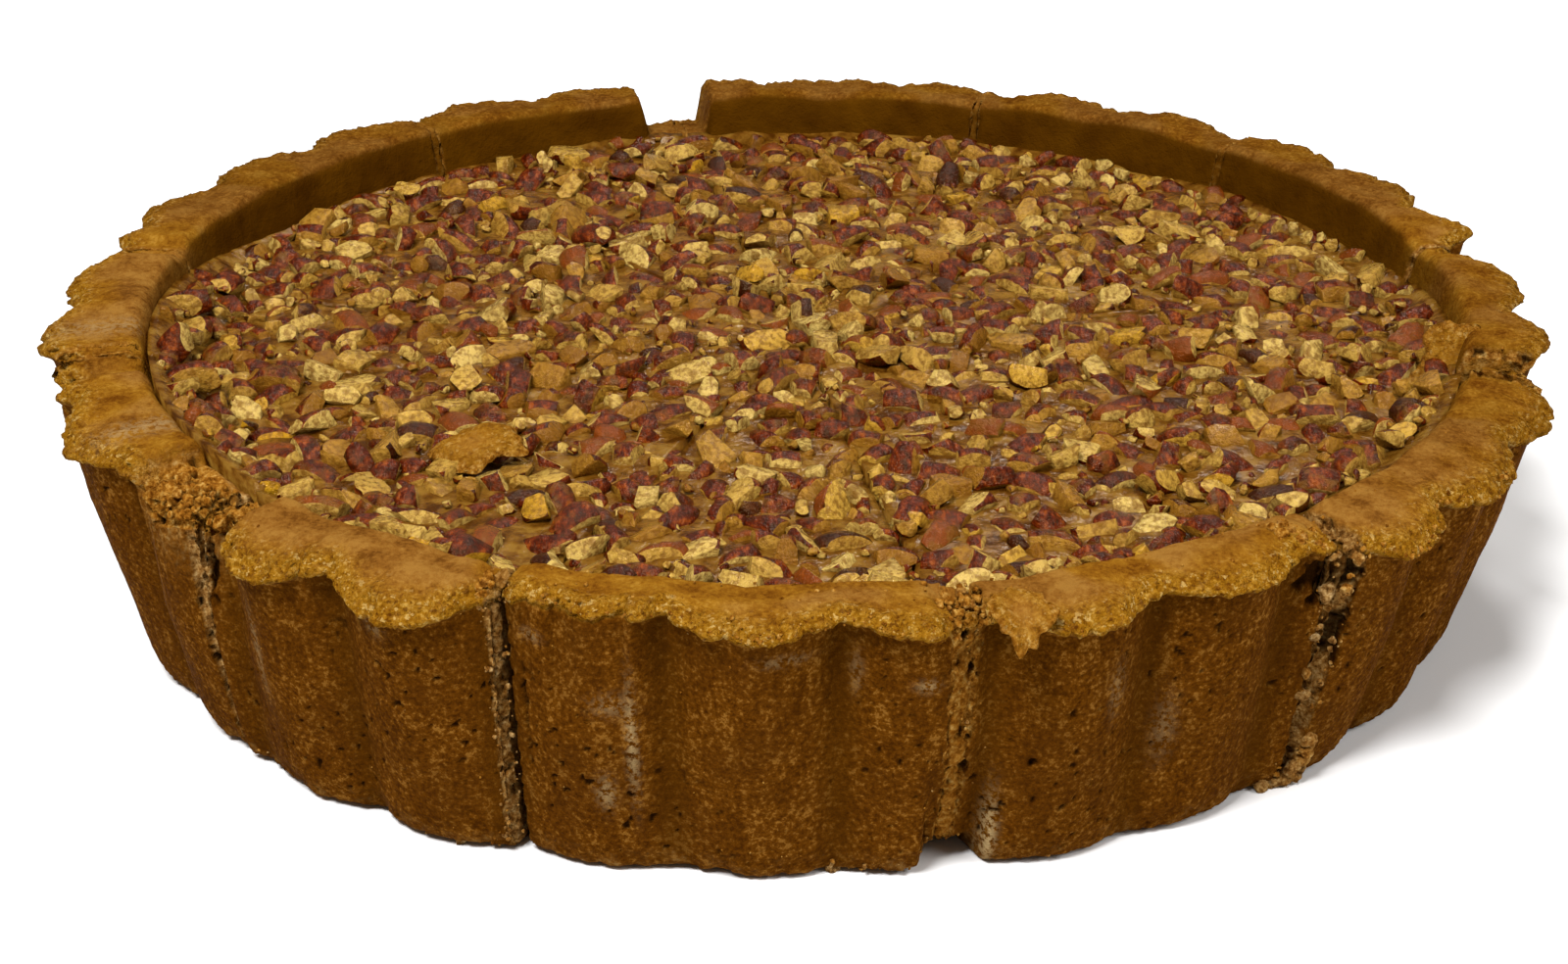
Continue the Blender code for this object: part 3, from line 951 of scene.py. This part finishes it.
# Crumbs: number of them, the angle and the row of the outline about which they lie, how far they
# stray in mm along the rim and in rows, their least and greatest size, and their tone.
CRUMB_PATCHES = (
    (36, 11.2, 8.6, 3.6, 1.4, 0.6, 1.8, 0.8),
    (60, 10.7, 4.0, 4.0, 1.6, 0.3, 0.6, 0.7),
    (60, 338.5, 4.0, 1.4, 1.8, 0.3, 0.9, 0.45),
    (14, 338.2, 8.0, 1.2, 0.8, 0.8, 1.8, 0.8),
    (30, 37.6, 8.4, 3.6, 1.0, 0.6, 1.9, 0.8),
    (60, 40.5, 4.0, 2.6, 1.8, 0.3, 0.9, 0.6),
    (14, 40.5, 4.5, 1.4, 0.8, 1.0, 2.4, 0.35),
    (12, 41.4, 2.6, 1.4, 0.6, 1.8, 3.4, 0.45),
    (12, 40.4, 1.7, 1.6, 0.3, 1.8, 3.6, 0.45),
    (40, 310.5, 8.4, 7.0, 1.3, 0.6, 2.2, 0.9),
    (30, 8.0, 1.9, 26.0, 0.5, 0.3, 0.9, 0.6),
    (16, 330.0, 1.9, 40.0, 0.5, 0.3, 1.0, 0.6),
    (2, 2.6, 1.4, 0.8, 0.1, 2.2, 3.0, 0.3),
    (2, 334.2, 1.4, 0.8, 0.1, 1.4, 2.0, 0.4),
    (80, 0.0, 7.2, 40.0, 0.5, 0.3, 0.8, 0.9),
    (80, 50.0, 7.2, 30.0, 0.5, 0.3, 0.9, 0.9),
    (90, 20.0, 9.2, 120.0, 1.0, 0.3, 0.8, 0.9),
    (40, 350.0, 4.0, 60.0, 1.4, 0.25, 0.45, 0.8),
)


def crumb(rng, size, detail):
    """A lumpy crumb's points and triangles."""
    shape = bmesh.new()
    bmesh.ops.create_icosphere(shape, subdivisions=detail, radius=0.5)
    points, faces, _ = arrays(shape)
    seat = rng.uniform(0.0, 90.0, 3)
    points = points * (1.0 + 0.5 * waves(points + seat, 0.55, 70) + 0.3 * waves(points + seat, 0.25, 71))[:, None]
    points = points * rng.uniform(0.65, 1.15, 3) * size
    return points @ turned(rng, 1.0).T, faces


def crumbs(slices, material):
    """Crumbs along the cuts, on the rim and at the foot, as one mesh."""
    rng = np.random.default_rng(7)
    points, faces, tones, seats = [], [], [], []
    at = 0
    for count, angle, row, stray, rows, least, most, tone in CRUMB_PATCHES:
        for _ in range(count):
            aside = math.degrees(rng.normal(0.0, 0.5) * stray / WALL_RADIUS)
            where = np.clip(row + rng.uniform(-rows, rows), 1.2, 11.5)
            size = least * (most / least) ** rng.random()
            spot = on_crust(angle + aside, where, slices)
            spot[2] = max(spot[2], 0.32 * size)
            shape, triangles = crumb(rng, size, 3 if size > 1.5 else 2 if size > 0.7 else 1)
            shape = shape + spot
            shape[:, 2] = np.maximum(shape[:, 2], 0.0)
            points.append(shape)
            faces.append(triangles + at)
            tones.append(np.full(len(shape), np.clip(tone + rng.normal(0.0, 0.12), 0.0, 1.0)))
            seats.append(np.ones(len(shape)))
            at += len(shape)
    values = {"tone": np.concatenate(tones), "crumb": np.concatenate(seats)}
    piece = make("crust_crumbs", np.concatenate(points), np.concatenate(faces), values, material)
    settle(piece, "crust")


def flake(name, place, turn, size, thick, curl, seed, material, *nodes):
    """A torn flap of rim: a ragged, bent and crumbly flake."""
    rings, sectors = 14, 64
    rng = np.random.default_rng(seed)
    bearing = np.linspace(0.0, 2.0 * math.pi, sectors, endpoint=False)
    circle = np.column_stack([np.cos(bearing), np.sin(bearing), np.zeros(sectors)])
    start = rng.uniform(0.0, 60.0, 3)
    edge = 1.0 + 0.4 * waves(circle * 1.1 + start, 0.9, 80) + 0.2 * waves(circle * 1.1 + start, 0.35, 81)
    edge = np.clip(edge, 0.45, 1.5)
    points, cover = [], []
    for upward in (1.0, -1.0):
        for ring in range(rings + 1):
            share = ring / rings
            flat = circle[:, :2] * (edge * share)[:, None] * np.array(size) / 2.0
            round_off = math.sqrt(max(0.0, 1.0 - share**4))
            z = upward * thick * 0.5 * round_off + curl[0] * (flat[:, 0] / size[0] * 2.0) ** 2
            z = z + curl[1] * (flat[:, 1] / size[1] * 2.0) ** 2
            spots = np.column_stack([flat, np.full(sectors, 9.0 * upward)])
            z = z + 0.45 * layers(spots + start, 3.0, 3, 82) * (0.3 + 0.7 * round_off)
            points.append(np.column_stack([flat, z]))
            cover.append(np.full(sectors, share))
    points = np.concatenate(points)
    faces = []
    for shell in (0, 1):
        for ring in range(rings):
            a = (shell * (rings + 1) + ring) * sectors
            for i in range(sectors):
                j = (i + 1) % sectors
                quad = [a + i, a + j, a + sectors + j, a + sectors + i]
                faces.append(quad[::-1] if shell == 0 else quad)
    low, high = rings * sectors, (2 * rings + 1) * sectors
    for i in range(sectors):
        j = (i + 1) % sectors
        faces.append([low + i, low + j, high + j, high + i])
    lean, tip, spin = [math.radians(angle) for angle in turn]
    about_x = np.array([[1, 0, 0], [0, math.cos(lean), -math.sin(lean)], [0, math.sin(lean), math.cos(lean)]])
    about_y = np.array([[math.cos(tip), 0, math.sin(tip)], [0, 1, 0], [-math.sin(tip), 0, math.cos(tip)]])
    about_z = np.array([[math.cos(spin), -math.sin(spin), 0], [math.sin(spin), math.cos(spin), 0], [0, 0, 1]])
    points = points @ (about_z @ about_y @ about_x).T + np.array(place)
    cover = np.concatenate(cover)
    values = {
        "gold": np.ones(len(points)),
        "tone": np.full(len(points), 0.95),
        "edge": cover,
        "crumb": 0.25 + 0.6 * smooth(0.7, 0.95, cover),
    }
    piece = make(name, points, faces, values, material)
    shape = bmesh.new()
    shape.from_mesh(piece.data)
    bmesh.ops.remove_doubles(shape, verts=shape.verts[:], dist=0.02 * MM)
    shape.to_mesh(piece.data)
    shape.free()
    outward(piece)
    settle(piece, "crust", *nodes)


def from_meeting(angle, radius, z):
    """A place measured from where the cuts meet."""
    level = directions(angle) * radius + np.array(CUTS_MEET)
    return (level[0], level[1], z)


def flakes(material):
    place = from_meeting(-44.0, 72.0, LEVEL + 3.4)
    flake("torn_flap_on_filling", place, (14.0, -6.0, -12.0), (15.0, 11.0), 1.6, (-1.0, -0.6), 2, material,
          "rim_flake_on_filling")
    place = from_meeting(14.2, 121.4, HEIGHT - 0.4)
    flake("torn_flap_front", place, (0.0, 30.0, -75.0), (10.5, 8.6), 1.5, (-1.4, 1.0), 5, material,
          "rim_flake_front")
    place = from_meeting(78.6, 110.2, HEIGHT - 5.0)
    flake("torn_flap_right", place, (70.0, 0.0, -12.0), (14.0, 17.0), 1.3, (0.8, -1.0), 21, material)


# ---------------------------------------------------------------------------------------------
# Materials
# ---------------------------------------------------------------------------------------------

# The lights make a surface look this much brighter than its own colour.
BRIGHTER = 1.55


def screen(value):
    """A screen value (0 to 255) as linear light."""
    share = value / 255.0
    return share / 12.92 if share <= 0.04045 else ((share + 0.055) / 1.055) ** 2.4


def colour(red, green, blue):
    """The surface colour that looks like this screen colour under the studio's lights."""
    return tuple(screen(value) / BRIGHTER for value in (red, green, blue)) + (1.0,)


class Finish:
    """A material's node tree, with short calls for the nodes it uses."""

    def __init__(self, name):
        self.material = bpy.data.materials.new(name)
        self.material.use_nodes = True
        self.tree = self.material.node_tree
        self.shader = self.tree.nodes["Principled BSDF"]
        place = self.tree.nodes.new("ShaderNodeTexCoord")
        self.place = place.outputs["Object"]

    def plug(self, value, socket):
        if isinstance(value, bpy.types.NodeSocket):
            self.tree.links.new(value, socket)
        else:
            socket.default_value = value

    def attribute(self, name):
        node = self.tree.nodes.new("ShaderNodeAttribute")
        node.attribute_name = name
        return node.outputs["Fac"]

    def noise(self, size, detail=2.0, roughness=0.5, place=None):
        """Noise whose bumps are about size mm across."""
        node = self.tree.nodes.new("ShaderNodeTexNoise")
        node.inputs["Scale"].default_value = 1.0 / (size * MM)
        node.inputs["Detail"].default_value = detail
        node.inputs["Roughness"].default_value = roughness
        self.plug(place or self.place, node.inputs["Vector"])
        return node.outputs["Fac"]

    def stretched(self, x, y, z):
        node = self.tree.nodes.new("ShaderNodeMapping")
        node.inputs["Scale"].default_value = (x, y, z)
        self.plug(self.place, node.inputs["Vector"])
        return node.outputs["Vector"]

    def step(self, value, low, high, to_low=0.0, to_high=1.0):
        node = self.tree.nodes.new("ShaderNodeMapRange")
        node.interpolation_type = "SMOOTHSTEP"
        self.plug(value, node.inputs["Value"])
        node.inputs["From Min"].default_value = low
        node.inputs["From Max"].default_value = high
        node.inputs["To Min"].default_value = to_low
        node.inputs["To Max"].default_value = to_high
        return node.outputs["Result"]

    def maths(self, operation, a, b):
        node = self.tree.nodes.new("ShaderNodeMath")
        node.operation = operation
        self.plug(a, node.inputs[0])
        self.plug(b, node.inputs[1])
        return node.outputs[0]

    def times(self, a, b):
        return self.maths("MULTIPLY", a, b)

    def mix(self, share, a, b):
        node = self.tree.nodes.new("ShaderNodeMix")
        node.data_type = "RGBA"
        self.plug(share, node.inputs["Factor"])
        self.plug(a, node.inputs["A"])
        self.plug(b, node.inputs["B"])
        return node.outputs["Result"]

    def ramp(self, value, *stops):
        node = self.tree.nodes.new("ShaderNodeValToRGB")
        elements = node.color_ramp.elements
        while len(elements) < len(stops):
            elements.new(0.5)
        for element, (position, shade) in zip(elements, stops):
            element.position = position
            element.color = shade
        self.plug(value, node.inputs["Fac"])
        return node.outputs["Color"]

    def bump(self, height, depth, under=None):
        """Bumps depth mm deep."""
        node = self.tree.nodes.new("ShaderNodeBump")
        node.inputs["Strength"].default_value = 1.0
        node.inputs["Distance"].default_value = depth * MM
        self.plug(height, node.inputs["Height"])
        if under:
            self.plug(under, node.inputs["Normal"])
        return node.outputs["Normal"]

    def set(self, **sockets):
        for name, value in sockets.items():
            self.plug(value, self.shader.inputs[name.replace("_", " ")])
        return self.material


def crust_finish():
    f = Finish("baked_shortcrust")
    speck = f.noise(0.8, 3.0, 0.7)
    patch = f.noise(9.0, 3.0, 0.55)
    streak = f.noise(3.0, 3.0, 0.6, f.stretched(1.0, 1.0, 0.35))
    mottle = f.maths("ADD", f.times(speck, 0.7), f.times(streak, 0.3))
    wall = f.ramp(
        mottle,
        (0.38, colour(72, 37, 2)),
        (0.48, colour(94, 52, 5)),
        (0.55, colour(110, 64, 10)),
        (0.61, colour(146, 98, 36)),
    )
    wall = f.mix(f.step(patch, 0.38, 0.66, 0.0, 0.35), wall, colour(78, 42, 5))
    # Painted shade: the wall is painted a deeper brown in the flute valleys, where shade falls.
    wall = f.mix(f.step(f.attribute("valley"), 0.45, 0.95, 0.0, 0.55), wall, colour(76, 42, 2))
    blotch = f.maths("ADD", f.times(f.noise(5.0, 4.0, 0.6), 0.6), f.times(speck, 0.4))
    rim = f.ramp(
        blotch,
        (0.36, colour(104, 58, 8)),
        (0.46, colour(136, 86, 18)),
        (0.54, colour(153, 103, 25)),
        (0.64, colour(176, 127, 44)),
    )
    outer = f.ramp(
        mottle,
        (0.35, colour(108, 60, 6)),
        (0.46, colour(148, 97, 16)),
        (0.55, colour(170, 118, 28)),
        (0.66, colour(206, 160, 72)),
    )
    rosy = f.ramp(
        blotch,
        (0.38, colour(104, 62, 18)),
        (0.48, colour(136, 88, 33)),
        (0.58, colour(154, 107, 47)),
    )
    rim = f.mix(f.step(f.noise(20.0, 2.0), 0.42, 0.54, 0.0, 0.8), rim, rosy)
    baked_grains = f.noise(1.1, 2.0, 0.6)
    outer = f.mix(f.step(baked_grains, 0.60, 0.66, 0.0, 0.7), outer, colour(222, 182, 104))
    outer = f.mix(f.step(baked_grains, 0.40, 0.34, 0.0, 0.75), outer, colour(92, 48, 8))
    rim = f.mix(f.attribute("edge"), rim, outer)
    inside = f.ramp(patch, (0.3, colour(70, 38, 1)), (0.7, colour(94, 56, 3)))
    base = f.mix(f.attribute("gold"), wall, rim)
    base = f.mix(f.attribute("inside"), base, inside)
    grit = f.noise(1.0, 4.0, 0.7)
    golden_crumb = f.ramp(
        grit,
        (0.36, colour(96, 52, 6)),
        (0.47, colour(146, 90, 24)),
        (0.57, colour(178, 124, 46)),
        (0.68, colour(210, 166, 90)),
    )
    grey_crumb = f.ramp(
        grit,
        (0.36, colour(72, 46, 18)),
        (0.46, colour(130, 94, 50)),
        (0.55, colour(164, 128, 78)),
        (0.66, colour(204, 172, 120)),
    )
    crumb = f.mix(f.step(f.attribute("tone"), 0.15, 0.85), grey_crumb, golden_crumb)
    base = f.mix(f.attribute("crumb"), base, crumb)
    dust = f.times(f.attribute("flour"), f.step(f.noise(1.0, 3.0, 0.7), 0.42, 0.56))
    base = f.mix(dust, base, colour(182, 154, 106))
    # Painted shade: near-black in pits, holes, cracks and on the cut faces.
    base = f.mix(f.step(f.attribute("recess_shade"), 0.1, 0.9, 0.0, 0.85), base, colour(30, 14, 2))
    relief = f.step(f.attribute("edge"), 0.2, 0.9, 0.4, 1.0)
    coarse = f.bump(f.times(f.noise(1.2, 4.0, 0.68), relief), 1.0)
    fine = f.bump(f.noise(0.3, 2.0, 0.5), 0.07, coarse)
    return f.set(Base_Color=base, Roughness=0.8, Normal=fine, Specular_IOR_Level=0.03, IOR=1.2)


WARM_SHINE = (1.0, 0.68, 0.36, 1.0)


def caramel_finish():
    f = Finish("set_caramel")
    body = f.ramp(
        f.noise(3.4, 3.0, 0.6),
        (0.36, colour(76, 40, 4)),
        (0.50, colour(116, 74, 18)),
        (0.64, colour(142, 102, 36)),
    )
    normal = f.bump(f.noise(1.3, 3.0, 0.6), 0.3)
    return f.set(
        Base_Color=body,
        Roughness=0.1,
        Normal=normal,
        IOR=1.25,
        Specular_Tint=WARM_SHINE,
    )


def pecan_finish():
    f = Finish("pecan_pieces")
    grain = f.noise(1.0, 3.0, 0.6)
    flesh = f.ramp(
        f.attribute("tone"),
        (0.0, colour(142, 92, 22)),
        (0.2, colour(172, 122, 38)),
        (0.5, colour(202, 160, 70)),
        (0.85, colour(222, 188, 102)),
        (1.0, colour(204, 150, 30)),
    )
    soaked = f.mix(f.step(grain, 0.36, 0.60, 0.75, 0.0), flesh, colour(122, 74, 16))
    veins = f.noise(1.2, 3.0, 0.7, f.stretched(1.0, 0.4, 1.0))
    skin = f.ramp(
        veins,
        (0.34, colour(46, 8, 0)),
        (0.46, colour(76, 18, 1)),
        (0.56, colour(106, 34, 4)),
        (0.68, colour(152, 72, 18)),
    )
    skin = f.mix(f.step(f.attribute("pick"), 0.92, 0.95, 0.0, 0.8), skin, colour(44, 14, 1))
    skin = f.mix(f.step(f.attribute("pick"), 0.14, 0.10, 0.0, 0.6), skin, colour(138, 68, 14))
    base = f.mix(f.attribute("skin"), soaked, skin)
    glaze = f.times(f.step(f.attribute("wet"), 0.55, 0.9), f.step(f.noise(2.2, 2.0), 0.48, 0.6, 0.0, 0.6))
    base = f.mix(glaze, base, colour(124, 80, 20))
    rough = f.bump(f.noise(0.8, 3.0, 0.65), 0.34)
    normal = f.bump(f.noise(0.4, 2.0, 0.6), 0.1, rough)
    return f.set(
        Base_Color=base,
        Roughness=0.1,
        Normal=normal,
        IOR=1.34,
        Specular_Tint=WARM_SHINE,
    )


# ---------------------------------------------------------------------------------------------
# Studio
# ---------------------------------------------------------------------------------------------

FLOOR_SIZE = 6.0
LAMPS = (
    # name, place, size and power
    ("key", (-0.36, -0.74, 1.25), 0.5, 33.0),
    ("fill", (0.95, -0.55, 0.85), 0.7, 9.0),
    ("back", (0.15, 0.9, 1.1), 0.26, 7.0),
)


def studio():
    scene = bpy.context.scene
    scene.view_settings.view_transform = "Standard"
    world = bpy.data.worlds.new("soft_studio")
    world.use_nodes = True
    sky = world.node_tree.nodes["Background"]
    sky.inputs["Color"].default_value = (1.0, 0.90, 0.76, 1.0)
    sky.inputs["Strength"].default_value = 0.18
    scene.world = world

    mesh = bpy.data.meshes.new("floor")
    corners = [(-1, -1), (1, -1), (1, 1), (-1, 1)]
    mesh.from_pydata([(x * FLOOR_SIZE, y * FLOOR_SIZE, 0) for x, y in corners], [], [(0, 1, 2, 3)])
    floor = bpy.data.objects.new("floor", mesh)
    scene.collection.objects.link(floor)
    f = Finish("pale_floor")
    pale = (0.86, 0.86, 0.86, 1.0)
    floor.data.materials.append(f.set(Base_Color=pale, Roughness=0.9, Specular_IOR_Level=0.1))

    for name, place, size, power in LAMPS:
        light = bpy.data.lights.new(name, "AREA")
        light.shape = "DISK"
        light.size = size
        light.energy = power
        lamp = bpy.data.objects.new(name, light)
        lamp.location = place
        toward = Vector((0.0, 0.0, 0.02)) - Vector(place)
        lamp.rotation_euler = toward.to_track_quat("-Z", "Y").to_euler()
        scene.collection.objects.link(lamp)


def camera():
    """The photograph's view: from the front, a little under 25 degrees above the horizon."""
    elevation = math.radians(24.654)
    distance = 0.52324
    target = Vector((-1.42, -1.5, 11.55)) * MM
    lens = bpy.data.cameras.new("camera")
    lens.sensor_width = 36.0
    lens.lens = 68.64
    lens.clip_start = 0.01
    eye = bpy.data.objects.new("camera", lens)
    eye.location = target + distance * Vector((0.0, -math.cos(elevation), math.sin(elevation)))
    eye.rotation_euler = (math.pi / 2.0 - elevation, 0.0, 0.0)
    bpy.context.scene.collection.objects.link(eye)
    bpy.context.scene.camera = eye


def all_slices():
    """Every slice's number, first and last angle, slide and shape."""
    slices = []
    for index, (start, slide, *shape) in enumerate(SLICES):
        end = SLICES[(index + 1) % len(SLICES)][0]
        end = end + 360.0 if end < start else end
        slid = directions((start + end) / 2.0) * slide
        slices.append(
            {"number": index + 1, "start": start, "end": end, "slide": slide, "slid": slid, "shape": shape}
        )
    return slices


def main():
    camera()
    studio()
    crust = crust_finish()
    caramel = caramel_finish()
    pecan = pecan_finish()
    slices = all_slices()
    for one in slices:
        number, start, end = one["number"], one["start"], one["end"]
        crust_slice(number, start, end, one["slide"], one["shape"], crust)
        crust_seam(number, start, slices[number - 2], one, crust)
        filling_slice(number, start, end, one["slid"], caramel)
    spread = Spread()
    for seed, kind in enumerate(CHIP_KINDS):
        nuts(kind, spread, pecan, 100 + seed)
    crumbs(slices, crust)
    flakes(crust)


main()
